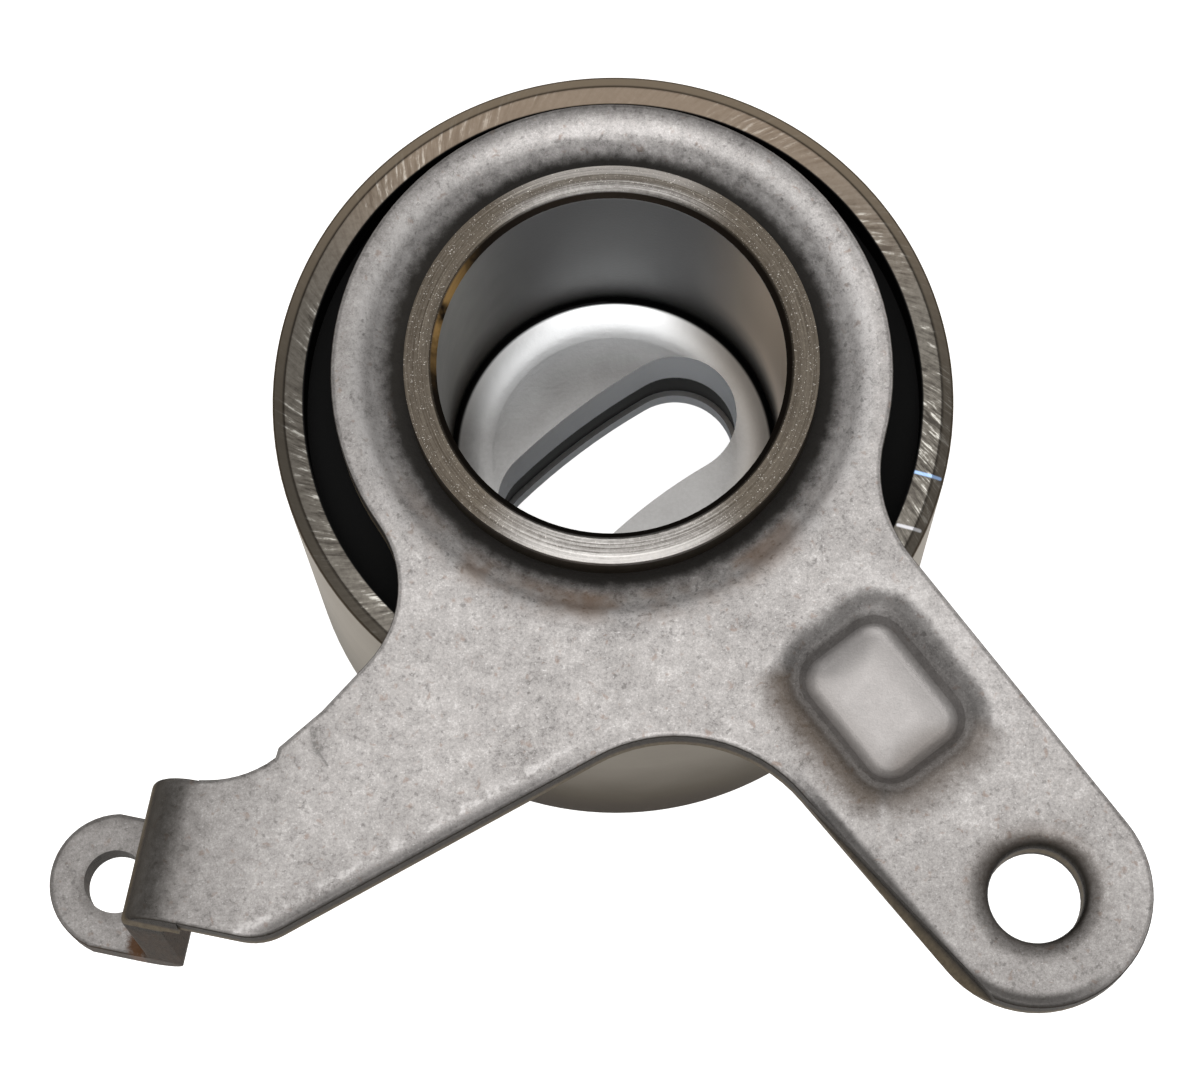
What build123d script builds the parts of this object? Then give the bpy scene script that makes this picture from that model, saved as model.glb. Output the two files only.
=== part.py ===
from build123d import *
import os
from math import acos, atan2, cos, degrees, hypot, radians, sin, sqrt, tan

# All sizes are in millimetres. The origin is the middle of the belt face on the spin axis.
# +Z points to the plate side, which faces the engine. The part stands on its far rim.

# Hub. Its bore is the size that all round parts build on.
hub_bore_r = 15.0
hub_wall = 2.5
hub_end_above_rim = 9.8
hub_lip = 0.3
hub_mouth_chamfer = 0.65
hub_mouth_depth = 0.55
hub_shoulder = 2.9
hub_floor_below_rim = 19.2
hub_floor_thickness = 15.0
floor_rise_width = 3.6
floor_rise_angle = 24.0
floor_corner_r = 0.6
hub_rear_chamfer = 0.8

# Bearing
ball_r = 3.175
balls_per_row = 12
race_osculation = 1.04
race_clearance = 0.02
inner_race_floor = 2.405
race_shoulder = 2.5
race_inset = 7.0
inner_ring_chamfer = 0.6
bearing_recess = 3.7
bearing_far_recess = 6.3

# Cages
cage_wall = 2.0
cage_back = 4.3
cage_front = 2.0
pocket_clearance = 0.12

# Seals
seal_width = 2.4
seal_skin = 0.9
seal_lip_clearance = 0.05
insert_thickness = 0.7
insert_edge_rubber = 0.6
insert_lip_rubber = 1.5

# Pulley drum
drum_width = 40.0
drum_wall = 4.4
seal_seat_depth = 1.6
rim_bevel_width = 1.1
rim_bevel_drop = 0.35
rim_edge_round = 0.25

# Adjusting slot, an arc about the pivot hole
slot_width = 11.3
slot_half_angle = 6.9
slot_front_land = 6.8
slot_rear_land = 2.4
slot_relief = 0.45

# Bracket plate
sheet = 3.5
plate_above_rim = 8.2
head_margin = 0.9
pivot_x = 35.25
pivot_y = -45.5
foot_r = 9.6
leg_right_angle = -52.7
leg_left_angle = -50.3
neck_right_r = 12.0
neck_left_r = 9.7
arch_r = 13.7
arm_upper_angle = 47.7
arm_upper_offset = 2.15
arm_lower_angle = 29.0
arm_lower_offset = 29.1
arm_corner_r = 5.0
arm_hollow_r = 9.3
nib_start = 7.9
nib_tip = 3.2
nib_foot = 2.3
nib_height = 0.55
arm_top_angle = 0.0
edge_round = 0.45
shear_step = 0.85
shear_land = 2.0
shear_length = 18.0

# Dish round the hub
dish_depth = 1.8
dish_inner_margin = 1.4
dish_slope_width = 4.4
dish_rear_share = 0.5

# Dimple in the leg
dimple_x = 22.7
dimple_y = -29.0
dimple_length = 14.6
dimple_width = 11.4
dimple_angle = -52.5
dimple_depth = 1.9
dimple_slope = 1.6
dimple_corner_r = 3.5
dimple_mouth_round = 2.0
dimple_bed_round = 1.4

# Drawn pivot hole
pivot_hole_r = 4.0
funnel_round = 1.9
collar_depth = 1.2
collar_wall = 1.6

# Web and spring ear, in a frame turned with the bend line
bend_turn = -11.7
web_outer = -30.85
bend_inner_r = 0.8
web_lean = 6.2
strip_top = -42.1
strip_bottom = -54.3
ear_top = -44.0
ear_bottom = -55.9
ear_below_rim = 9.95
ear_u = -33.6
ear_swell = 0.15
ear_hole_u = -33.9
ear_hole_r = 2.75

# Radii that follow from the sizes above
hub_r = hub_bore_r + hub_wall
hub_lip_r = hub_r + hub_lip
hub_face_inner_r = hub_bore_r + hub_mouth_chamfer
hub_shoulder_r = hub_r + hub_shoulder
floor_flat_r = hub_bore_r - floor_rise_width
pitch_r = hub_r + inner_race_floor + race_clearance + ball_r
inner_ring_shoulder_r = pitch_r - race_shoulder
shoulder_r = pitch_r + race_shoulder
rim_bore_r = shoulder_r + seal_seat_depth
drum_r = shoulder_r + drum_wall
dish_inner_r = hub_r + dish_inner_margin
dish_outer_r = dish_inner_r + dish_slope_width
head_r = dish_outer_r + head_margin
race_r = ball_r * race_osculation
inner_race_centre = pitch_r - ball_r - race_clearance + race_r
outer_race_centre = pitch_r + ball_r + race_clearance - race_r
bend_outer_r = bend_inner_r + sheet

# Places along the axis that follow from the sizes above
near_rim = drum_width / 2
far_rim = -drum_width / 2
plate_front = near_rim + plate_above_rim
plate_back = plate_front - sheet
hub_end = near_rim + hub_end_above_rim
hub_floor = near_rim - hub_floor_below_rim
hub_rear = hub_floor - hub_floor_thickness
ring_front = near_rim - bearing_recess
ring_back = far_rim + bearing_far_recess
row_front = ring_front - race_inset
row_back = ring_back + race_inset
valley_front = plate_front - dish_depth
valley_back = plate_back - dish_depth

os.makedirs("parts", exist_ok=True)


def direction(angle):
    """A unit vector in the plane of the plate, at an angle from +X."""
    return Vector(cos(radians(angle)), sin(radians(angle)))


def ring_profile(points):
    """A closed section in the radius and height plane, ready to revolve."""
    return Plane.XZ * make_face(Polyline(*points, close=True))


def turned(section):
    """Revolves a section round the spin axis."""
    return revolve(section, Axis.Z)


def race_cut(centre_r, height):
    """The round groove that one row of balls runs in."""
    return Plane.XZ * Pos(centre_r, height) * Circle(race_r)


def nearest_vertex(shape, point):
    """The corner of a shape that lies closest to a point."""
    return shape.vertices().sort_by_distance(point)[0]


def rounded(face, point, radius):
    """Rounds the corner of a flat face that lies closest to a point."""
    return fillet(nearest_vertex(face, point), radius)


def line_meet(point_a, angle_a, point_b, angle_b):
    """The point where two lines in the plate's plane cross."""
    a = direction(angle_a)
    b = direction(angle_b)
    gap = point_b - point_a
    along = (gap.X * b.Y - gap.Y * b.X) / (a.X * b.Y - a.Y * b.X)
    return point_a + a * along


# Pulley drum: a turned tube with a raised land for the two races and a seal seat near each rim
def make_drum():
    seat_front = ring_front - seal_width
    seat_back = ring_back + seal_width
    bevel_r = drum_r - rim_bevel_width
    section = ring_profile(
        [
            (rim_bore_r, near_rim),
            (bevel_r, near_rim),
            (drum_r, near_rim - rim_bevel_drop),
            (drum_r, far_rim + rim_bevel_drop),
            (bevel_r, far_rim),
            (rim_bore_r, far_rim),
            (rim_bore_r, seat_back),
            (shoulder_r, seat_back),
            (shoulder_r, seat_front),
            (rim_bore_r, seat_front),
        ]
    )
    section -= race_cut(outer_race_centre, row_front)
    section -= race_cut(outer_race_centre, row_back)
    drum = turned(section)
    rim_edges = drum.edges().filter_by(GeomType.CIRCLE)
    rim_edges = [edge for edge in rim_edges if abs(edge.radius - drum_r) < 0.01]
    return fillet(rim_edges, rim_edge_round)


# Inner ring: carries both inner races and is pressed on the hub
def make_inner_ring():
    section = ring_profile(
        [
            (hub_r, ring_back),
            (inner_ring_shoulder_r - inner_ring_chamfer, ring_back),
            (inner_ring_shoulder_r, ring_back + inner_ring_chamfer),
            (inner_ring_shoulder_r, ring_front - inner_ring_chamfer),
            (inner_ring_shoulder_r - inner_ring_chamfer, ring_front),
            (hub_r, ring_front),
        ]
    )
    section -= race_cut(inner_race_centre, row_front)
    section -= race_cut(inner_race_centre, row_back)
    return turned(section)


def ball_places(height):
    """Ball centres of one row."""
    return [
        Pos(direction(360 * i / balls_per_row) * pitch_r + Vector(0, 0, height))
        for i in range(balls_per_row)
    ]


# Snap cage: a ring with round pockets, closed behind the balls and open in front
def make_cage(height, facing):
    back = height - facing * cage_back
    front = height + facing * cage_front
    section = ring_profile(
        [
            (pitch_r - cage_wall / 2, back),
            (pitch_r + cage_wall / 2, back),
            (pitch_r + cage_wall / 2, front),
            (pitch_r - cage_wall / 2, front),
        ]
    )
    pockets = [place * Sphere(ball_r + pocket_clearance) for place in ball_places(height)]
    return turned(section) - pockets


# Seal: rubber moulded round a steel ring, fixed in the drum, with a lip on the inner ring
def make_seal(outer_face, facing):
    inner_face = outer_face - facing * seal_width
    lip_r = inner_ring_shoulder_r + seal_lip_clearance
    insert_outer_r = rim_bore_r - insert_edge_rubber
    insert_inner_r = lip_r + insert_lip_rubber
    insert_face = outer_face - facing * seal_skin
    insert_back = insert_face - facing * insert_thickness
    rubber = ring_profile(
        [
            (lip_r, outer_face - facing * inner_ring_chamfer),
            (lip_r + seal_skin, outer_face),
            (rim_bore_r, outer_face),
            (rim_bore_r, inner_face),
            (insert_outer_r, inner_face),
            (insert_outer_r, insert_face),
            (insert_inner_r, insert_face),
            (insert_inner_r, insert_back),
            (lip_r, insert_back),
        ]
    )
    insert = ring_profile(
        [
            (insert_inner_r, insert_face),
            (insert_outer_r, insert_face),
            (insert_outer_r, insert_back),
            (insert_inner_r, insert_back),
        ]
    )
    return turned(rubber), turned(insert)


def slot_face(width, extra=0.0):
    """The adjusting slot: an arc about the pivot hole with round ends."""
    radius = hypot(pivot_x, pivot_y)
    middle = degrees(atan2(-pivot_y, -pivot_x))
    centre = Vector(pivot_x, pivot_y)
    reach = slot_half_angle
    start = centre + direction(middle - reach) * radius
    end = centre + direction(middle + reach) * radius
    outer = radius + width / 2 + extra
    inner = radius - width / 2 - extra
    band = make_face(
        [
            ThreePointArc(
                centre + direction(middle - reach) * outer,
                centre + direction(middle) * outer,
                centre + direction(middle + reach) * outer,
            ),
            Line(
                centre + direction(middle + reach) * outer,
                centre + direction(middle + reach) * inner,
            ),
            ThreePointArc(
                centre + direction(middle + reach) * inner,
                centre + direction(middle) * inner,
                centre + direction(middle - reach) * inner,
            ),
            Line(
                centre + direction(middle - reach) * inner,
                centre + direction(middle - reach) * outer,
            ),
        ]
    )
    cap = Circle(width / 2 + extra)
    return band + Pos(start) * cap + Pos(end) * cap


# Hub: a cup with a machined end face, a dished floor and a thick pierced bottom
def make_hub():
    rise_r = hub_bore_r - floor_corner_r
    rise = radians(floor_rise_angle)
    curve_r = (rise_r - floor_flat_r + floor_corner_r * sin(rise)) / sin(rise)
    rise_end = (floor_flat_r + curve_r * sin(rise), hub_floor + curve_r * (1 - cos(rise)))
    rise_middle = (
        floor_flat_r + curve_r * sin(rise / 2),
        hub_floor + curve_r * (1 - cos(rise / 2)),
    )
    corner_centre = (rise_r, rise_end[1] + floor_corner_r * cos(rise))
    corner_way = (rise + radians(90)) / 2
    corner_middle = (
        corner_centre[0] + floor_corner_r * sin(corner_way),
        corner_centre[1] - floor_corner_r * cos(corner_way),
    )
    wall_foot = (hub_bore_r, corner_centre[1])
    outline = [
        Polyline(
            wall_foot,
            (hub_bore_r, hub_end - hub_mouth_depth),
            (hub_face_inner_r, hub_end),
            (hub_lip_r, hub_end),
            (hub_lip_r, valley_front),
            (hub_r, valley_front),
            (hub_r, valley_back),
            (hub_shoulder_r, valley_back),
            (hub_shoulder_r, ring_front),
            (hub_r, ring_front),
            (hub_r, hub_rear + hub_rear_chamfer),
            (hub_r - hub_rear_chamfer, hub_rear),
            (0, hub_rear),
            (0, hub_floor),
            (floor_flat_r, hub_floor),
        ),
        ThreePointArc((floor_flat_r, hub_floor), rise_middle, rise_end),
        ThreePointArc(rise_end, corner_middle, wall_foot),
    ]
    cup = turned(Plane.XZ * make_face(outline))
    slot = Pos(0, 0, hub_rear) * extrude(slot_face(slot_width), 2 * hub_floor_thickness)
    relief_height = hub_floor_thickness - slot_front_land - slot_rear_land
    relief = Pos(0, 0, hub_rear + slot_rear_land) * extrude(
        slot_face(slot_width, slot_relief), relief_height
    )
    return cup - slot - relief


def in_part(u, v):
    """A point of the bend line's own frame, in the part's frame."""
    return Vector(u, v).rotate(Axis.Z, bend_turn)


# Bracket plate outline: head, leg, arm and the hollows between them
def plate_outline():
    pivot = Vector(pivot_x, pivot_y)
    leg_right = pivot + direction(leg_right_angle + 90) * foot_r
    leg_left = pivot + direction(leg_left_angle - 90) * foot_r
    arm_upper = direction(arm_upper_angle - 90) * arm_upper_offset
    arm_lower = direction(arm_lower_angle - 90) * arm_lower_offset
    bend_start = web_outer + bend_outer_r
    bend_top = in_part(bend_start, strip_top)
    bend_bottom = in_part(bend_start, strip_bottom)
    hollow = line_meet(bend_top, arm_top_angle, arm_upper, arm_upper_angle)
    corner = line_meet(bend_bottom, bend_turn, arm_lower, arm_lower_angle)
    arch = line_meet(arm_lower, arm_lower_angle, leg_left, leg_left_angle)
    leg_normal = direction(leg_right_angle + 90)
    leg_offset = leg_right.dot(leg_normal)
    neck_right = leg_normal * leg_offset
    neck_right += direction(leg_right_angle) * sqrt(head_r**2 - leg_offset**2)
    neck_left = arm_upper - direction(arm_upper_angle) * sqrt(head_r**2 - arm_upper_offset**2)
    web = make_face(
        Polyline(
            arm_upper,
            hollow,
            bend_top,
            bend_bottom,
            corner,
            arch,
            leg_left,
            pivot,
            leg_right,
            leg_normal * leg_offset,
            close=True,
        )
    )
    outline = web + Circle(head_r) + Pos(pivot) * Circle(foot_r)
    outline = rounded(outline, hollow, arm_hollow_r)
    outline = rounded(outline, corner, arm_corner_r)
    outline = rounded(outline, arch, arch_r)
    outline = rounded(outline, neck_left, neck_left_r)
    outline = rounded(outline, neck_right, neck_right_r)
    return outline + arm_nib(hollow)


# Nib on the arm's upper edge, left where two shear cuts met
def arm_nib(hollow):
    along = direction(arm_upper_angle)
    outward = direction(arm_upper_angle + 90)
    return make_face(
        Polyline(
            hollow + along * nib_start,
            hollow + along * nib_tip + outward * nib_height,
            hollow + along * nib_foot + outward * nib_height / 6,
            hollow + along * nib_tip - outward * nib_height,
            close=True,
        )
    )


def soft_step(top, outer_r, inner_r, outer_bend_r, inner_bend_r):
    """Section below a pressed step: two arcs that meet on a slope, and the valley to the axis."""
    turn = acos(1 - dish_depth / (outer_bend_r + inner_bend_r))
    meet = (outer_r - outer_bend_r * sin(turn), top - outer_bend_r * (1 - cos(turn)))
    first = (outer_r - outer_bend_r * sin(turn / 2), top - outer_bend_r * (1 - cos(turn / 2)))
    valley = top - dish_depth
    second = (inner_r + inner_bend_r * sin(turn / 2), valley + inner_bend_r * (1 - cos(turn / 2)))
    return [
        ThreePointArc((outer_r, top), first, meet),
        ThreePointArc(meet, second, (inner_r, valley)),
        Line((inner_r, valley), (0, valley)),
    ]


# Dish round the hub: the hollow in front and the boss it raises behind
def dish_parts():
    run = dish_outer_r - dish_inner_r
    total_r = (run**2 + dish_depth**2) / (2 * dish_depth)
    bend_r = total_r / 2
    hollow = make_face(
        [
            *soft_step(plate_front, dish_outer_r, dish_inner_r, bend_r, bend_r),
            Polyline(
                (0, valley_front),
                (0, plate_front + sheet),
                (dish_outer_r, plate_front + sheet),
                (dish_outer_r, plate_front),
            ),
        ]
    )
    behind_r = total_r * dish_rear_share
    boss = make_face(
        [
            *soft_step(plate_back, dish_outer_r, dish_inner_r, total_r - behind_r, behind_r),
            Polyline((0, valley_back), (0, plate_back), (dish_outer_r, plate_back)),
        ]
    )
    return turned(Plane.XZ * hollow), turned(Plane.XZ * boss)


def dimple_block(top, spread):
    """The dimple as a solid: a rounded rectangle that narrows with depth."""
    length = dimple_length + 2 * spread
    width = dimple_width + 2 * spread
    corner = dimple_corner_r + spread
    mouth = RectangleRounded(length, width, corner)
    bed = RectangleRounded(
        length - 2 * dimple_slope, width - 2 * dimple_slope, corner - dimple_slope
    )
    block = loft([Pos(0, 0, top) * mouth, Pos(0, 0, top - dimple_depth) * bed])
    block = fillet(block.faces().sort_by(Axis.Z)[0].edges(), dimple_bed_round)
    return Pos(dimple_x, dimple_y) * Rot(0, 0, dimple_angle) * block


# Dimple in the leg: the hollow in front and the boss it raises behind
def dimple_parts():
    slope = degrees(atan2(dimple_depth, dimple_slope))
    spread = sheet * tan(radians(slope / 2))
    return dimple_block(plate_front, 0), dimple_block(plate_back, spread)


def dimple_mouth(plate):
    """The edges round the dimple on the plate's front face."""
    middle = Vector(dimple_x, dimple_y, plate_front)
    reach = hypot(dimple_length, dimple_width) / 2
    edges = plate.edges().filter_by(lambda edge: abs((edge @ 0.5).Z - plate_front) < 0.01)
    return edges.filter_by(lambda edge: ((edge @ 0.5) - middle).length < reach)


# Drawn pivot hole: a rounded mouth, a straight throat and a short collar behind
def pivot_parts():
    throat_top = plate_front - funnel_round
    collar_end = plate_back - collar_depth
    half = sqrt(0.5)
    arc_middle = (
        pivot_hole_r + funnel_round * (1 - half),
        throat_top + funnel_round * half,
    )
    mouth_r = pivot_hole_r + funnel_round
    section = make_face(
        [
            Polyline(
                (mouth_r, plate_front),
                (mouth_r, plate_front + sheet),
                (0, plate_front + sheet),
                (0, collar_end - sheet),
                (pivot_hole_r, collar_end - sheet),
                (pivot_hole_r, throat_top),
            ),
            ThreePointArc((pivot_hole_r, throat_top), arc_middle, (mouth_r, plate_front)),
        ]
    )
    place = Pos(pivot_x, pivot_y)
    hole = place * turned(Plane.XZ * section)
    collar = place * Pos(0, 0, collar_end) * extrude(
        Circle(pivot_hole_r + collar_wall), collar_depth
    )
    return hole, collar


# Sheared edge of the leg: set back at the front, slanting out where the metal broke
def leg_shear():
    section = make_face(
        Polyline(
            (-shear_step, plate_front + sheet),
            (-shear_step, plate_front - shear_land),
            (0, plate_back),
            (sheet, plate_back),
            (sheet, plate_front + sheet),
            close=True,
        )
    )
    turn = degrees(atan2(shear_step, shear_length))
    along = direction(leg_left_angle + turn)
    outward = direction(leg_left_angle + turn - 90)
    foot = Vector(pivot_x, pivot_y) + direction(leg_left_angle - 90) * foot_r
    start = foot - direction(leg_left_angle) * shear_length + outward * shear_step
    frame = Plane(origin=start, x_dir=outward, z_dir=-along)
    return extrude(frame * section, -(shear_length + foot_r))


# Web and ear: the arm's end, bent down and out again, trimmed to its outline
def make_strip():
    start = web_outer + bend_outer_r
    ear_back = near_rim - ear_below_rim
    ear_front = ear_back + sheet
    ear_middle = (ear_top + ear_bottom) / 2
    ear_r = (ear_top - ear_bottom) / 2
    left = ear_u - ear_r - ear_swell
    overlap = start + sheet / 4
    lean = radians(web_lean)
    upper = Vector(start, plate_front - bend_outer_r)
    web_point = upper + direction(180 + web_lean) * bend_outer_r
    lower_height = ear_front + bend_inner_r
    drop = web_point.Y - lower_height
    lower = Vector(web_point.X + (drop * sin(lean) - bend_inner_r) / cos(lean), lower_height)
    upper_way = direction(135 + web_lean / 2)
    upper_end = direction(180 + web_lean)
    lower_way = direction(web_lean / 2 - 45)
    lower_start = direction(web_lean)
    front_path = Wire(
        [
            Line((overlap, plate_front), (start, plate_front)),
            ThreePointArc(
                (start, plate_front),
                upper + upper_way * bend_outer_r,
                upper + upper_end * bend_outer_r,
            ),
            Line(upper + upper_end * bend_outer_r, lower + lower_start * bend_inner_r),
            ThreePointArc(
                lower + lower_start * bend_inner_r,
                lower + lower_way * bend_inner_r,
                (lower.X, ear_front),
            ),
            Line((lower.X, ear_front), (left, ear_front)),
        ]
    )
    back_path = [
        Polyline((left, ear_front), (left, ear_back), (lower.X, ear_back)),
        ThreePointArc(
            (lower.X, ear_back),
            lower + lower_way * bend_outer_r,
            lower + lower_start * bend_outer_r,
        ),
        Line(lower + lower_start * bend_outer_r, upper + upper_end * bend_inner_r),
        ThreePointArc(
            upper + upper_end * bend_inner_r,
            upper + upper_way * bend_inner_r,
            (start, plate_back),
        ),
        Polyline((start, plate_back), (overlap, plate_back), (overlap, plate_front)),
    ]
    section = make_face([front_path, *back_path])
    reach = 2 * (ear_top - ear_bottom)
    across = Plane(origin=(0, ear_middle + reach, 0), x_dir=(1, 0, 0), z_dir=(0, -1, 0))
    strip = extrude(across * section, 2 * reach)
    side = make_face(
        Polyline(
            (strip_top, plate_front + sheet),
            (strip_top, plate_front),
            (ear_top, ear_front),
            (ear_top, ear_back - sheet),
            (ear_bottom, ear_back - sheet),
            (ear_bottom, ear_front),
            (strip_bottom, plate_front),
            (strip_bottom, plate_front + sheet),
            close=True,
        )
    )
    sideways = Plane(origin=(left - sheet, 0, 0), x_dir=(0, 1, 0), z_dir=(1, 0, 0))
    strip = strip & extrude(sideways * side, overlap - left + 2 * sheet)
    clear = 2 * ear_r
    trim = make_face(
        Polyline(
            (ear_u, ear_top),
            (overlap + clear, ear_top + clear),
            (overlap + clear, ear_bottom - clear),
            (ear_u, ear_bottom),
            close=True,
        )
    )
    trim += Pos(ear_u, ear_middle) * Circle(ear_r + ear_swell)
    strip = strip & Pos(0, 0, ear_back - sheet) * extrude(trim, plate_front - ear_back + 2 * sheet)
    strip = fillet(skin_edges(strip, front_path), edge_round)
    hole = Pos(ear_hole_u, ear_middle, ear_back - sheet) * extrude(Circle(ear_hole_r), 3 * sheet)
    return Rot(0, 0, bend_turn) * (strip - hole)


def skin_edges(strip, front_path):
    """The strip's outline edges on its front skin."""
    chosen = []
    for edge in strip.edges():
        points = [edge @ part for part in (0.1, 0.5, 0.9)]
        gaps = [front_path.distance_to(Vertex(point.X, point.Z, 0)) for point in points]
        runs_across = edge.geom_type == GeomType.LINE and abs((edge % 0.5).Y) > 0.9
        if max(gaps) < 0.01 and not runs_across:
            chosen.append(edge)
    return chosen


def blank_edges(blank):
    """The outline edges of the blank's front face, without the one at the bend."""
    front = blank.faces().sort_by(Axis.Z)[-1]
    inward = direction(bend_turn)
    joint = web_outer + bend_outer_r
    return [edge for edge in front.edges() if abs((edge @ 0.5).dot(inward) - joint) > 0.01]


# Bracket plate: one stamped sheet
def make_plate():
    blank = Pos(0, 0, plate_back) * extrude(plate_outline(), sheet)
    blank = fillet(blank_edges(blank), edge_round)
    plate = blank + make_strip()
    dish, dish_boss = dish_parts()
    dimple, dimple_boss = dimple_parts()
    hole, collar = pivot_parts()
    plate = plate + dish_boss + dimple_boss + collar
    plate = plate - dish - dimple
    plate = fillet(dimple_mouth(plate), dimple_mouth_round)
    plate = plate - hole - leg_shear()
    return plate - Pos(0, 0, hub_rear) * extrude(Circle(hub_r), hub_end - hub_rear)


export_step(make_plate(), "parts/bracket_plate.step")
export_step(make_hub(), "parts/hub.step")
export_step(make_inner_ring(), "parts/inner_ring.step")
export_step(make_drum(), "parts/drum.step")

for side, height, facing in (("front", row_front, 1), ("rear", row_back, -1)):
    export_step(make_cage(height, facing), f"parts/cage_{side}.step")
    for number, place in enumerate(ball_places(height), 1):
        export_step(place * Sphere(ball_r), f"parts/ball_{side}_{number:02d}.step")

seal_faces = {"front": (ring_front, 1), "rear": (ring_back, -1)}
for side, (outer_face, facing) in seal_faces.items():
    seal, insert = make_seal(outer_face, facing)
    export_step(seal, f"parts/seal_{side}.step")
    export_step(insert, f"parts/seal_insert_{side}.step")
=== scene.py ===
import bpy
import bmesh
from math import cos, pi, radians, sin
from mathutils import Matrix, Vector

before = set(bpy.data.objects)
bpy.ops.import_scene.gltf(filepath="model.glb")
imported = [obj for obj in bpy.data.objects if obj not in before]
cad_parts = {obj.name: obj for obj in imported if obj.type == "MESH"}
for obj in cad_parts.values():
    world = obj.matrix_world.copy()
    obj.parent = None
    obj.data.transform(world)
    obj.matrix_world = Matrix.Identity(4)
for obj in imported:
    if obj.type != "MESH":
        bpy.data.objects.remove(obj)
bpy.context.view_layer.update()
scene = bpy.context.scene

MM = 0.001

# Radii in millimetres, as in the part's source
HUB_BORE_R = 15.0
HUB_R = 17.5
HUB_LIP_R = 17.8
DISH_INNER_R = 18.9
DISH_OUTER_R = 23.3
RIM_BORE_R = 27.2
DRUM_R = 30.0
PIVOT_HOLE_R = 4.0
FOOT_R = 9.6

# Heights in millimetres, from the middle of the belt face
FLOOR_Z = -20.0
RIM_Z = 20.0
PLATE_Z = 28.2
PLATE_BACK_Z = 24.7
HUB_END_Z = 29.8
HUB_FLOOR_Z = 0.8
FRONT_LAND_Z = -6.0
REAR_LAND_Z = -11.8

# Places and directions in the plane of the plate, and straight edges by their distance
PIVOT = (35.25, -45.5)
EAR_HOLE = (-43.45, -42.5)
DIMPLE = (22.7, -29.0)
DIMPLE_LENGTH = 14.6
DIMPLE_WIDTH = 11.4
DIMPLE_CORNER_R = 3.5
DIMPLE_TURN = radians(-52.5)
BEND_TURN = radians(-11.7)
LEG_TURN = radians(-50.3)
LEG_OFFSET = 11.55
ARM_TURN = radians(29.0)
ARM_OFFSET = 29.1

# Marks of use: a rust spot on the ear, a scratch at the arm's root and two on the rim
RUST = (-41.2, -47.6)
ROOT_SCRATCH = ((-25.1, -31.6), (-24.7, -33.5))
ROOT_SCRATCH_TAIL = ((-24.7, -33.4), (-23.8, -34.7))
BLUE_SCRATCH = ((26.4, -7.1), (28.6, -7.7))
GREY_SCRATCH = ((24.85, -11.9), (26.75, -12.4))
RIM_SCRATCH_WIDTH = 0.22

# Colours of the painted shade in the bracket's hollows, plain and brown
PAINTED_SHADE = (0.012, 0.011, 0.010)
BROWN_PAINTED_SHADE = (0.062, 0.042, 0.026)


# Camera: where the photograph was taken from, in the part's own frame
def place_camera():
    data = bpy.data.cameras.new("camera")
    data.sensor_fit = "HORIZONTAL"
    data.sensor_width = 36.0
    data.lens = 113.01
    data.clip_start = 0.01
    data.clip_end = 20.0
    camera = bpy.data.objects.new("camera", data)
    scene.collection.objects.link(camera)
    right = Vector((0.9999155, 0.0, -0.0129996))
    up = Vector((0.0032678, 0.9678899, 0.2513532))
    back = Vector((0.0125822, -0.2513744, 0.9678081))
    turn = Matrix((right, up, back)).transposed().to_4x4()
    place = Vector((3.023, -95.847, 337.458)) * MM
    camera.matrix_world = Matrix.Translation(place) @ turn
    scene.camera = camera


# Shader building
class Value:
    """A number socket that can be used in plain arithmetic."""

    def __init__(self, kit, socket):
        self.kit = kit
        self.socket = socket

    def _math(self, operation, a, b):
        return self.kit.add("ShaderNodeMath", {"operation": operation}, {0: a, 1: b})

    def __add__(self, other):
        return self._math("ADD", self, other)

    __radd__ = __add__

    def __sub__(self, other):
        return self._math("SUBTRACT", self, other)

    def __rsub__(self, other):
        return self._math("SUBTRACT", other, self)

    def __mul__(self, other):
        return self._math("MULTIPLY", self, other)

    __rmul__ = __mul__

    def __truediv__(self, other):
        return self._math("DIVIDE", self, other)

    def power(self, other):
        return self._math("POWER", self, other)

    def least(self, other):
        return self._math("MINIMUM", self, other)

    def most(self, other):
        return self._math("MAXIMUM", self, other)

    def size(self):
        return self._math("ABSOLUTE", self, 0.0)

    def between(self, low, high):
        """0 at or below low, 1 at or above high, smooth between."""
        return self.kit.add(
            "ShaderNodeMapRange",
            {"interpolation_type": "SMOOTHSTEP"},
            {"Value": self, "From Min": low, "From Max": high},
        )

    def below(self, full, none):
        """1 at or below full, 0 at or above none, smooth between."""
        return 1.0 - self.between(full, none)

    def within(self, low, rise, fall, high):
        """1 from rise to fall, 0 at or below low and at or above high."""
        return self.between(low, rise) * self.below(fall, high)


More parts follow.
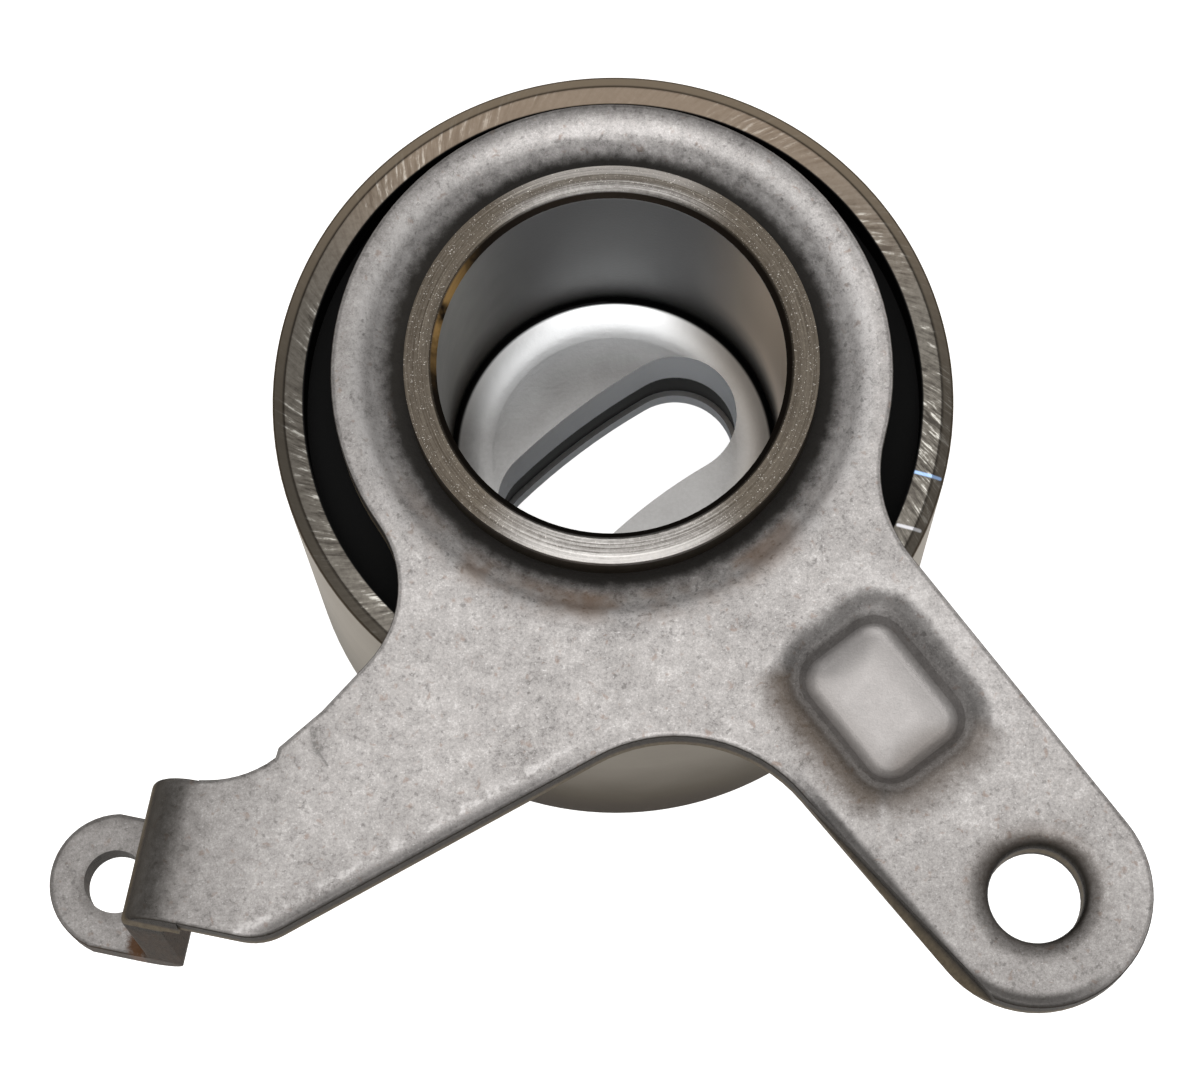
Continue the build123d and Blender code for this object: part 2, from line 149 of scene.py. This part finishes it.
class Finish:
    """The nodes of one material, or of the world."""

    def __init__(self, owner):
        owner.use_nodes = True
        self.owner = owner
        self.tree = owner.node_tree
        self.tree.nodes.clear()
        self.place = self.add("ShaderNodeTexCoord", {}, {}, "Object")

    def add(self, kind, settings, inputs, output=0):
        """A node with its settings and its sockets' values or links, as one of its outputs."""
        node = self.tree.nodes.new(kind)
        for key, setting in settings.items():
            if key == "stops":
                self._set_stops(node.color_ramp, setting)
            else:
                setattr(node, key, setting)
        for key, given in inputs.items():
            self.feed(node.inputs[key], given)
        return Value(self, node.outputs[output]) if node.outputs else None

    def _set_stops(self, ramp, stops):
        while len(ramp.elements) < len(stops):
            ramp.elements.new(1.0)
        for element, (position, color) in zip(ramp.elements, stops):
            element.position = position
            element.color = (*color, 1.0)

    def feed(self, socket, given):
        """Links a value to a socket, or sets a number or a colour on it."""
        if isinstance(given, Value):
            self.tree.links.new(given.socket, socket)
        elif isinstance(given, tuple) and len(given) == 3 and socket.type == "RGBA":
            socket.default_value = (*given, 1.0)
        else:
            socket.default_value = given

    def parts(self):
        """The three numbers of the place, in millimetres."""
        x = self.add("ShaderNodeSeparateXYZ", {}, {0: self.place})
        return [Value(self, output) / MM for output in x.socket.node.outputs]

    def stretched(self, x=1.0, y=1.0, z=1.0):
        """Object coordinates in millimetres, scaled."""
        return self.add(
            "ShaderNodeMapping",
            {},
            {
                "Vector": self.place,
                "Scale": (x / MM, y / MM, z / MM),
            },
        )

    def facing(self):
        """How squarely the surface faces along the spin axis, from 0 to 1."""
        normal = self.add("ShaderNodeTexCoord", {}, {}, "Normal")
        return self.add("ShaderNodeSeparateXYZ", {}, {0: normal}, 2).size()

    def joined(self, x, y, z):
        return self.add("ShaderNodeCombineXYZ", {}, {0: x, 1: y, 2: z})

    def noise(self, where, scale, detail=4.0, roughness=0.5, distortion=0.0):
        """A cloudy number round 0.5. Scale is in waves per millimetre."""
        return self.add(
            "ShaderNodeTexNoise",
            {},
            {
                "Vector": where,
                "Scale": scale,
                "Detail": detail,
                "Roughness": roughness,
                "Distortion": distortion,
            },
        )

    def ramp(self, factor, stops):
        """A colour that runs through stops of place and colour."""
        return self.add("ShaderNodeValToRGB", {"stops": stops}, {0: factor})

    def mix(self, factor, a, b):
        """Colour a where factor is 0 and b where it is 1."""
        return self.add("ShaderNodeMix", {"data_type": "RGBA"}, {0: factor, 6: a, 7: b}, 2)

    def bump(self, height, strength, depth):
        """Small relief in the surface, with its depth in millimetres."""
        return self.add(
            "ShaderNodeBump",
            {},
            {"Strength": strength, "Distance": depth * MM, "Height": height},
        )

    def finish(self, **inputs):
        """Ends the material in a Principled shader with these inputs."""
        sockets = {key.replace("_", " "): given for key, given in inputs.items()}
        shader = self.add("ShaderNodeBsdfPrincipled", {}, sockets)
        self.add("ShaderNodeOutputMaterial", {}, {0: shader})
        return self.owner


def new_finish(name):
    return Finish(bpy.data.materials.new(name))


def distance(dx, dy):
    """Length of a step in the plane."""
    return (dx * dx + dy * dy).power(0.5)


def polar(kit):
    """A place and its radius, in millimetres."""
    x, y, z = kit.parts()
    return x, y, z, distance(x, y)


def way_round(kit, x, y):
    """The angle about the spin axis in turns, from -0.5 to 0.5."""
    return kit.add("ShaderNodeMath", {"operation": "ARCTAN2"}, {0: y, 1: x}) / (2 * pi)


def turned(x, y, centre, turn):
    """A place along and across a direction through a centre."""
    dx = x - centre[0]
    dy = y - centre[1]
    return dx * cos(turn) + dy * sin(turn), dy * cos(turn) - dx * sin(turn)


def past_edge(x, y, turn, offset):
    """How far a place lies outside a straight edge, in millimetres."""
    return x * sin(turn) - y * cos(turn) - offset


def round_box(along, across, length, width, corner):
    """Distance to a rounded rectangle's outline, in millimetres, less than 0 inside."""
    over_a = along.size() - (length / 2 - corner)
    over_b = across.size() - (width / 2 - corner)
    out_a = over_a.most(0.0)
    out_b = over_b.most(0.0)
    inside = over_a.most(over_b).least(0.0)
    return distance(out_a, out_b) + inside - corner


def stroke(x, y, ends, width):
    """1 along a straight scratch between two places, 0 beyond its width, in millimetres."""
    start, end = ends
    dx = end[0] - start[0]
    dy = end[1] - start[1]
    reach = ((x - start[0]) * dx + (y - start[1]) * dy) / (dx * dx + dy * dy)
    reach = reach.most(0.0).least(1.0)
    off_x = x - start[0] - reach * dx
    off_y = y - start[1] - reach * dy
    return distance(off_x, off_y).below(width * 0.3, width)


# Bracket: grey phosphated sheet, blasted, with painted shade in its pressed hollows and on its
# cut edges, and painted highlights and glints
def dimple_shade(dimple, down_leg, beside):
    """How deep the painted shade lies in and round the dimple's slope, and where it is brown.
    """
    longer = (DIMPLE_LENGTH - DIMPLE_WIDTH) / 2
    at_ends = (down_leg.size() - beside.size() - longer).between(-1.5, 1.5)
    lower_end = at_ends * down_leg.between(-3.0, 3.0)
    upper_end = at_ends - lower_end
    left_side = (1.0 - at_ends) * beside.below(-3.0, 3.0)
    right_side = 1.0 - at_ends - left_side
    brown = left_side.most(lower_end)
    outside = dimple.between(-0.9, 0.3) * (dimple / (brown * 1.9 + 2.1)).below(0.25, 1.0)
    inside = dimple.within(-5.0, -2.0, -1.7, -0.9)
    on_slope = dimple.within(-2.2, -1.2, -0.4, 0.4)
    depth = outside * (left_side * 0.16 + 0.58)
    depth = depth.most(inside * (at_ends * 0.26 + lower_end * 0.12))
    depth = depth.most(on_slope * (at_ends * 0.28 + 0.08))
    rolling_in = dimple.within(-4.6, -2.2, -1.9, -1.2)
    rolling_in = rolling_in * (upper_end * 0.30 + right_side * 0.20)
    wide = dimple.within(-3.9, -1.4, 0.6, 2.0) * (right_side * 0.06 + 0.27)
    depth = depth + wide.most(rolling_in) * (1.0 - depth)
    # The steepest part is dark by its own shape
    own_dark = dimple.within(-1.6, -0.9, -0.3, 0.3)
    return depth * (1.0 - own_dark * (brown * 0.2 + 0.1)), brown


def painted_rolled_edges(kit, color, highlight_tone, x, y, mottle):
    """Painted highlight and painted shade of edges rolled over by the shears, along the leg
    and under the arm.
    """
    down_leg, beside = turned(x, y, PIVOT, LEG_TURN)
    leg_out = past_edge(x, y, LEG_TURN, LEG_OFFSET)
    foot_out = distance(down_leg, beside) - FOOT_R
    leg_out = leg_out + (foot_out - leg_out) * down_leg.between(-0.5, 0.5)
    leg_side = (0.0 - beside).between(-3.0, 5.0)
    leg_side = leg_side * (0.0 - y).between(34.0, 39.0) * x.between(8.0, 11.0)
    arm_out = past_edge(x, y, ARM_TURN, ARM_OFFSET) + mottle * 0.5 - 0.25
    arm_side = x.below(-9.0, 3.0)
    # A painted glint along the arm's rolled edge
    glint = arm_out.within(-2.2, -1.4, -1.3, -1.0) * arm_side * mottle.between(0.45, 0.60)
    color = kit.mix(glint * 0.45, color, highlight_tone)
    # Painted shade along the rolled edges
    leg_roll_shade = leg_out.between(-1.4, -0.7) * leg_side
    arm_roll_shade = arm_out.between(-1.3, -0.3) * arm_side * 0.8
    return kit.mix(leg_roll_shade.most(arm_roll_shade) * 0.85, color, (0.035, 0.033, 0.032))


def web_darkening(kit, color, x, y, z, along, mottle):
    """Painted shade that deepens over the bend and stays on the low web and the ear, most
    round the ear's hole and rim; darker also over the arm and the foot.
    """
    bend = (along + mottle * 1.4 - 0.7).below(-30.2, -23.8)
    arm = along.below(-26.0, -12.0)
    low = z.below(15.0, 22.0)
    foot = (0.0 - y).between(30.0, 54.0)
    ear_r = distance(x - EAR_HOLE[0], y - EAR_HOLE[1])
    ear_rims = ear_r.below(2.6, 3.7).most(ear_r.between(4.9, 6.2))
    on_plate = (arm * 0.38).most(foot * 0.27) * (1.0 - low)
    darkening = bend * (1.0 - low) * 0.55 + low * (ear_rims * 0.22 + 0.40) + on_plate
    return kit.mix(darkening.least(1.0), color, (0.045, 0.040, 0.034))


def cut_edges(kit, y, z, along):
    """Painted shade on the cut edges: near black where the sheet was sheared, lighter and
    yellowish where the metal broke, the yellow being a painted warm reflection.
    """
    streak = kit.noise(kit.stretched(1.0, 1.0, 0.2), 2.4, 3.0, 0.6)
    broken = kit.mix(streak, (0.035, 0.027, 0.017), (0.15, 0.12, 0.08))
    sheared = kit.mix(streak, (0.006, 0.005, 0.004), (0.04, 0.034, 0.028))
    edge = kit.mix(z.between(PLATE_Z - 2.8, PLATE_Z - 1.8), broken, sheared)
    edge = kit.mix(z.between(PLATE_BACK_Z - 0.7, PLATE_BACK_Z - 0.3), sheared, edge)
    # The web's end is painted dark brown as shade
    web_end = (0.0 - along).between(24.0, 26.0) * z.below(22.0, 24.0)
    web_end = web_end * (0.0 - y).between(40.0, 43.0)
    web_metal = kit.mix(streak, (0.012, 0.009, 0.006), (0.066, 0.047, 0.031))
    return kit.mix(web_end, edge, web_metal)


def bracket_finish():
    kit = new_finish("bracket_steel")
    x, y, z, radius = polar(kit)
    upward = y / radius
    where = kit.stretched()
    cloud = kit.noise(where, 0.16, 3.0, 0.6)
    mottle = kit.noise(where, 0.9, 4.0, 0.65)
    grain = kit.noise(where, 3.4, 3.0, 0.75)
    speck = kit.noise(where, 1.5, 3.0, 0.55).between(0.60, 0.72)
    glint_fleck = kit.noise(where, 4.6, 1.0, 0.5).between(0.66, 0.78)
    freckle = kit.noise(where, 1.2, 2.0, 0.5, 0.4).between(0.62, 0.74)
    fizz = kit.noise(where, 7.5, 2.0, 0.7)
    # Bare sheet, with a painted highlight where it rolls into the dish, weaker on the upper
    # side
    tone = mottle * 0.28 + grain * 0.34 + cloud * 0.16 + fizz * 0.22
    color = kit.ramp(
        tone,
        [
            (0.37, (0.215, 0.202, 0.196)),
            (0.46, (0.400, 0.380, 0.370)),
            (0.54, (0.520, 0.495, 0.482)),
            (0.66, (0.790, 0.765, 0.750)),
        ],
    )
    highlight_tone = kit.ramp(
        tone,
        [(0.37, (0.48, 0.46, 0.45)), (0.50, (0.84, 0.81, 0.80)), (0.66, (1.0, 0.98, 0.97))],
    )
    dish_highlight = radius.within(19.4, 20.8, 21.6, DISH_OUTER_R)
    color = kit.mix(dish_highlight * (0.95 - upward.between(0.3, 0.9) * 0.72), color, highlight_tone)
    # Dark specks, bright flecks painted as glints, and freckles, few in the dimple's bed
    down_leg, beside = turned(x, y, DIMPLE, DIMPLE_TURN)
    dimple = round_box(down_leg, beside, DIMPLE_LENGTH, DIMPLE_WIDTH, DIMPLE_CORNER_R)
    dimple = dimple + mottle * 0.6 - 0.3
    bed = dimple.below(-1.6, -0.2)
    color = kit.mix(speck * (0.5 - bed * 0.4), color, (0.12, 0.112, 0.106))
    color = kit.mix(glint_fleck * (0.5 - bed * 0.4), color, (0.85, 0.83, 0.82))
    color = kit.mix(bed * 0.7, color, (0.50, 0.475, 0.465))
    color = kit.mix(freckle * (1.0 - bed) * 0.45, color, (0.30, 0.20, 0.15))
    # Brown below the hub, and a scratch at the arm's root
    brown_below_hub = radius.within(19.0, 20.2, 20.6, 23.4) * (0.0 - upward).between(0.35, 0.9)
    color = kit.mix(brown_below_hub * cloud.between(0.35, 0.6) * 0.7, color, (0.36, 0.22, 0.13))
    scratch = stroke(x, y, ROOT_SCRATCH, 0.45).most(stroke(x, y, ROOT_SCRATCH_TAIL, 0.16))
    in_front = z.between(PLATE_Z - 2.2, PLATE_Z - 1.2)
    scratch = scratch * grain.between(0.35, 0.55) * 0.6 * in_front
    color = kit.mix(scratch, color, (0.10, 0.098, 0.092))
    # A painted highlight on the leg beside the dimple
    shine = dimple.within(0.6, 1.8, 2.2, 5.0) * beside.between(1.0, 7.0)
    color = kit.mix(shine * 0.2, color, highlight_tone)
    # Painted shade round the hub, over the head's rim at the top, in the dimple and in the
    # pivot hole's mouth, more on the pivot's upper side
    near_hub = (radius - upward * 0.45 + mottle * 0.8 - 0.4).below(DISH_INNER_R, 21.2)
    top_roll = radius.within(22.3, 23.8, 24.2, 24.6) * upward.between(0.3, 1.0)
    dimple_depth, brown = dimple_shade(dimple, down_leg, beside)
    pivot_r = distance(x - PIVOT[0], y - PIVOT[1])
    pivot_up = (y - PIVOT[1]) / pivot_r
    near_pivot = (pivot_r + mottle * 0.6 - 0.3).below(PIVOT_HOLE_R, 7.0)
    near_pivot = near_pivot * (pivot_up.between(-0.9, 0.6) * 0.45 + 0.28)
    depth = (near_hub * 0.985).most(top_roll * 0.55).most(dimple_depth).most(near_pivot)
    color = kit.mix(depth, color, kit.mix(brown, PAINTED_SHADE, BROWN_PAINTED_SHADE))
    color = painted_rolled_edges(kit, color, highlight_tone, x, y, mottle)
    along = x * cos(BEND_TURN) + y * sin(BEND_TURN)
    color = web_darkening(kit, color, x, y, z, along, mottle)
    flat = kit.facing().between(0.40, 0.80)
    color = kit.mix(flat, cut_edges(kit, y, z, along), color)
    # Rust spot where the ear meets the web
    from_rust = distance((x - RUST[0]) / 0.9, (y - RUST[1]) / 1.3)
    rust = (from_rust + grain * 0.9 - 0.45).below(0.5, 1.4) * z.below(15.0, 17.0)
    color = kit.mix(rust * 0.9, color, (0.085, 0.032, 0.006))
    return kit.finish(
        Base_Color=color,
        Metallic=0.7 - rust * 0.6,
        Roughness=grain * 0.25 + rust * 0.2 + 0.36,
        Specular_Tint=(0.35, 0.33, 0.30),
        Normal=kit.bump(grain * 0.7 + mottle * 0.3, 0.5, 0.07),
    )


# Hub: lathe-turned end face, collar painted dark as shade, satin bore and floor with painted
# shade, highlights and warm reflections, pierced slot
def end_face(kit, where, x, y, radius, across, behind, rings, fine, cloud):
    """Turned rings, painted bright where they face the light and painted in shade elsewhere,
    with a painted bright outer ring, painted glitter, and a painted golden glint at the mouth,
    which is painted near black as shade.
    """
    shaded_rings = kit.ramp(
        rings * 0.75 + fine * 0.25,
        [
            (0.36, (0.060, 0.048, 0.036)),
            (0.50, (0.100, 0.084, 0.066)),
            (0.62, (0.14, 0.12, 0.095)),
            (0.74, (0.42, 0.38, 0.31)),
        ],
    )
    lit_rings = kit.ramp(
        rings * 0.8 + fine * 0.2,
        [
            (0.36, (0.09, 0.08, 0.07)),
            (0.48, (0.28, 0.265, 0.25)),
            (0.58, (0.50, 0.48, 0.46)),
            (0.70, (0.95, 0.93, 0.90)),
        ],
    )
    inner = radius.below(16.1, 16.7)
    lit = across.between(0.72, 1.02) * (1.0 - behind * (1.0 - inner) * 0.85)
    face = kit.mix(lit, shaded_rings, lit_rings)
    outer_highlight = radius.between(16.95, 17.15) * across.between(0.8, 1.0) * (0.5 - behind * 0.25)
    face = kit.mix(outer_highlight, face, (0.80, 0.77, 0.74))
    # Painted glints, as glitter on the turned face
    glitter = kit.noise(where, 8.0, 1.0, 0.5).between(0.66, 0.76)
    face = kit.mix(glitter * 0.55, face, (0.80, 0.76, 0.70))
    golden_glint = (0.0 - x).between(11.0, 14.5) * y.between(-3.0, 3.0) * cloud.between(0.35, 0.6)
    mouth_shade = kit.mix(golden_glint, (0.014, 0.010, 0.007), (0.55, 0.34, 0.13))
    return kit.mix(radius.below(HUB_BORE_R + 0.4, HUB_BORE_R + 0.6), face, mouth_shade)


def hub_finish():
    kit = new_finish("hub_steel")
    x, y, z, radius = polar(kit)
    angle = way_round(kit, x, y)
    where = kit.stretched()
    fine = kit.noise(where, 2.6, 3.0, 0.7)
    cloud = kit.noise(where, 0.35, 3.0, 0.6)
    rings = kit.noise(kit.joined(radius * 8.0, angle * 5.0, z * 2.0), 1.0, 4.0, 0.75)
    across = (y / radius).size()
    behind = y.between(-4.0, 4.0)
    face = end_face(kit, where, x, y, radius, across, behind, rings, fine, cloud)
    # Bore, with a painted warm reflection on the right, and painted shade behind and towards
    # the floor
    wall = kit.mix(cloud, (0.24, 0.245, 0.235), (0.36, 0.355, 0.335))
    wall = kit.mix(x.between(3.0, 12.0), wall, (0.70, 0.56, 0.42))
    wall = kit.mix(across.between(0.35, 0.95) * behind, wall, (0.022, 0.023, 0.025))
    wall = kit.mix((z + cloud * 2.0 - 1.0).below(4.5, 12.0), wall, (0.002, 0.002, 0.002))
    # Floor, with a painted highlight where it rises to the wall behind, and a painted warm
    # reflection on the right
    floor = kit.mix(fine * 0.5 + cloud * 0.5, (0.20, 0.195, 0.19), (0.35, 0.345, 0.34))
    highlight_side = ((y + x * -0.25) / radius).between(0.35, 1.0)
    rise = (radius + cloud - 0.5).between(7.6, 14.2) * (highlight_side * 0.95 + 0.02)
    floor = kit.mix(rise, floor, (0.83, 0.84, 0.85))
    warm_reflection = radius.between(10.5, 14.0) * x.between(2.0, 12.0) * 0.7
    floor = kit.mix(warm_reflection, floor, (0.34, 0.30, 0.26))
    # Slot wall: two smooth lands with a near-black band between them
    land = kit.mix(fine, (0.88, 0.92, 0.98), (0.96, 0.98, 1.0))
    near_black_band = kit.mix(fine, (0.001, 0.001, 0.001), (0.004, 0.004, 0.003))
    on_land = z.between(FRONT_LAND_Z - 0.3, FRONT_LAND_Z + 0.3)
    on_land = on_land + z.below(REAR_LAND_Z - 0.3, REAR_LAND_Z + 0.3)
    slot_wall = kit.mix(on_land, near_black_band, land)
    # The pieces of the surface, one over the other
    outside = radius.between(HUB_R - 0.3, HUB_R - 0.1)
    at_front = z.between(HUB_END_Z - 0.9, HUB_END_Z - 0.5)
    up = kit.facing().between(0.5, 0.8)
    low = z.below(HUB_FLOOR_Z + 1.4, HUB_FLOOR_Z + 1.8)
    under_floor = z.below(HUB_FLOOR_Z - 0.1, HUB_FLOOR_Z + 0.1)
    in_slot = radius.below(14.0, 14.3) * (1.0 - up) * under_floor
    # The collar's outer side is painted dark brown as shade
    collar_shade = kit.mix(fine, (0.020, 0.016, 0.012), (0.085, 0.066, 0.043))
    color = kit.mix(outside, wall, collar_shade)
    color = kit.mix(low * radius.below(14.3, 14.6), color, floor)
    color = kit.mix(in_slot, color, slot_wall)
    on_face = at_front * radius.below(HUB_LIP_R - 0.05, HUB_LIP_R + 0.05)
    color = kit.mix(on_face, color, face)
    in_bore = (1.0 - outside) * (1.0 - low) * (1.0 - at_front)
    return kit.finish(
        Base_Color=color,
        Metallic=0.9 - in_slot * 0.85 - in_bore * 0.5,
        Roughness=0.42 - low * up * 0.08 - at_front * 0.06 + in_slot * 0.5,
        Normal=kit.bump(rings * at_front + fine * 0.35, 0.5, 0.06),
    )


# Drum: satin belt face, scratched bare rim faces with painted shade and highlights by side,
# inside painted near black as shade
def rim_face(kit, x, y, z, radius, cut, fine):
    """Turned and scratched metal, with a painted warm reflection on the upper side and painted
    shade on the left, a raised band painted bright on its upper side, and a groove near the
    edge in painted shade.
    """
    rim = kit.ramp(
        cut * 0.75 + fine * 0.25,
        [
            (0.36, (0.065, 0.058, 0.050)),
            (0.47, (0.13, 0.118, 0.102)),
            (0.57, (0.19, 0.175, 0.152)),
            (0.68, (0.62, 0.60, 0.55)),
        ],
    )
    # Painted warm reflection on the upper side, painted shade on the left
    rim = kit.mix(y.between(5.0, 28.0) * 0.7, rim, (0.27, 0.205, 0.150))
    rim = kit.mix((0.0 - x).between(18.0, 29.0) * 0.6, rim, (0.035, 0.031, 0.026))
    raised_band_lit = kit.mix(y.between(-5.0, 29.0), (0.13, 0.112, 0.09), (0.46, 0.37, 0.27))
    rim = kit.mix(radius.between(28.95, 29.1) * 0.7, rim, raised_band_lit)
    groove_shade = radius.within(28.75, 28.95, 29.0, 29.2)
    rim = kit.mix(groove_shade * 0.55, rim, (0.03, 0.024, 0.018))
    above = z.between(RIM_Z - 1.0, RIM_Z - 0.5)
    blue = stroke(x, y, BLUE_SCRATCH, RIM_SCRATCH_WIDTH)
    rim = kit.mix(blue * above * 0.9, rim, (0.42, 0.62, 1.0))
    grey = stroke(x, y, GREY_SCRATCH, RIM_SCRATCH_WIDTH)
    return kit.mix(grey * above * 0.7, rim, (0.80, 0.80, 0.84))


def drum_finish():
    kit = new_finish("drum_steel")
    x, y, z, radius = polar(kit)
    angle = way_round(kit, x, y)
    where = kit.stretched()
    cloud = kit.noise(where, 0.22, 3.0, 0.5)
    fine = kit.noise(where, 2.4, 3.0, 0.65)
    turning = kit.noise(kit.joined(radius * 2.0, angle * 6.0, z * 9.0), 1.0, 2.0, 0.5)
    # Belt face, with painted shade in front and towards the far rim
    belt = kit.mix(turning * 0.5 + cloud * 0.5, (0.37, 0.345, 0.31), (0.54, 0.505, 0.455))
    front_shade = (y / radius).below(-1.0, -0.55)
    belt = kit.mix(front_shade * 0.5, belt, (0.09, 0.086, 0.082))
    far_rim_shade = (z + cloud * 2.0 - 1.0).below(-19.0, 8.0)
    belt = kit.mix(far_rim_shade * (front_shade * 0.45 + 0.40), belt, (0.026, 0.021, 0.015))
    # Cuts across the rim, in patches
    spoke_place = kit.joined(radius * 0.35, angle * 300.0 + radius * 1.2, 3.0)
    spokes = kit.noise(spoke_place, 1.0, 3.0, 0.7, 0.3)
    patch = kit.noise(kit.joined(radius * 0.3, angle * 14.0, 9.0), 1.0, 2.0, 0.5)
    cut = (spokes - 0.5) * (patch.between(0.35, 0.65) * 1.3 + 0.4) + 0.5
    rim = rim_face(kit, x, y, z, radius, cut, fine)
    on_rim = kit.facing().between(0.55, 0.85)
    color = kit.mix(on_rim, belt, rim)
    # Painted shade on the rim's bevel
    bevel_shade = radius.between(DRUM_R - 0.25, DRUM_R - 0.1)
    bevel_shade = bevel_shade * z.size().between(RIM_Z - 0.65, RIM_Z - 0.5)
    color = kit.mix(bevel_shade * 0.85, color, (0.06, 0.045, 0.03))
    # The drum's inside is painted near black as shade
    inside = radius.below(RIM_BORE_R + 0.05, RIM_BORE_R + 0.2)
    color = kit.mix(inside, color, (0.008, 0.008, 0.008))
    return kit.finish(
        Base_Color=color,
        Metallic=0.85,
        Specular_Tint=(0.30, 0.28, 0.25),
        Specular_IOR_Level=0.2,
        Roughness=0.40 - cut * on_rim * 0.1 + inside * 0.3,
        Normal=kit.bump(turning * (1.0 - on_rim) * 0.5 + cut * on_rim, 0.35, 0.05),
    )


def plain_finish(name, color, metallic, roughness, shine=0.5):
    kit = new_finish(name)
    grain = kit.noise(kit.stretched(), 3.0, 3.0, 0.6)
    darker = tuple(part * 0.8 for part in color)
    return kit.finish(
        Base_Color=kit.mix(grain, darker, color),
        Metallic=metallic,
        Roughness=grain * 0.1 + roughness,
        Specular_IOR_Level=shine,
    )


finishes = {
    "bracket_plate": bracket_finish(),
    "hub": hub_finish(),
    "drum": drum_finish(),
}
ball_steel = plain_finish("ball_steel", (0.8, 0.8, 0.8), 1.0, 0.12)
cage_nylon = plain_finish("cage_nylon", (0.62, 0.55, 0.40), 0.0, 0.5)
seal_rubber = plain_finish("seal_rubber", (0.006, 0.006, 0.006), 0.0, 0.75, 0.15)
ring_steel = plain_finish("ring_steel", (0.6, 0.6, 0.6), 1.0, 0.2)

for name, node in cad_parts.items():
    if name.startswith("ball"):
        material = ball_steel
    elif name.startswith("cage"):
        material = cage_nylon
    elif name.startswith("seal_insert"):
        material = ring_steel
    elif name.startswith("seal"):
        material = seal_rubber
    else:
        material = finishes.get(name, ring_steel)
    for slot in node.material_slots:
        slot.material = material


# Floor and light. Lamps are placed in metres, and aim at the middle of the part.
LAMP_AIM = Vector((0.0, -0.01, 0.0))


def make_floor():
    floor = bpy.data.meshes.new("floor")
    shape = bmesh.new()
    bmesh.ops.create_grid(shape, x_segments=1, y_segments=1, size=3.0)
    bmesh.ops.translate(shape, verts=shape.verts, vec=(0.0, 0.0, FLOOR_Z * MM))
    shape.to_mesh(floor)
    shape.free()
    ground = bpy.data.objects.new("floor", floor)
    scene.collection.objects.link(ground)
    kit = new_finish("floor")
    seen, glossy, through = [
        kit.add("ShaderNodeLightPath", {}, {}, f"Is {ray} Ray")
        for ray in ("Camera", "Glossy", "Transmission")
    ]
    material = kit.finish(
        Base_Color=(0.7, 0.69, 0.68),
        Roughness=1.0,
        Emission_Color=(1.0, 1.0, 1.0),
        Emission_Strength=(seen + glossy + through).least(1.0) * 0.9,
    )
    ground.data.materials.append(material)


def add_lamp(name, place, size, power):
    data = bpy.data.lights.new(name, "AREA")
    data.shape = "RECTANGLE"
    data.size = size[0]
    data.size_y = size[1]
    data.energy = power
    lamp = bpy.data.objects.new(name, data)
    scene.collection.objects.link(lamp)
    way = LAMP_AIM - Vector(place)
    turn = way.to_track_quat("-Z", "Y").to_matrix().to_4x4()
    lamp.matrix_world = Matrix.Translation(Vector(place)) @ turn


def light_scene():
    world = bpy.data.worlds.new("studio")
    scene.world = world
    sky = Finish(world)
    way = sky.add("ShaderNodeTexCoord", {}, {}, "Generated")
    rise = sky.add(
        "ShaderNodeMapRange",
        {"interpolation_type": "SMOOTHSTEP"},
        {
            "Value": sky.add("ShaderNodeSeparateXYZ", {}, {0: way}, 2),
            "From Min": 0.0,
            "From Max": 1.0,
            "To Min": 0.26,
            "To Max": 0.50,
        },
    )
    back = sky.add("ShaderNodeBackground", {}, {"Color": (1.0, 0.99, 0.97), "Strength": rise})
    sky.add("ShaderNodeOutputWorld", {}, {0: back})
    add_lamp("key", (0.02, -0.40, 0.50), (0.34, 0.26), 1.0)
    add_lamp("front", (0.0, -0.21, 0.61), (0.20, 0.16), 0.5)
    add_lamp("top", (-0.03, 0.10, 0.64), (0.36, 0.36), 0.8)


scene.view_settings.view_transform = "Standard"
place_camera()
make_floor()
light_scene()
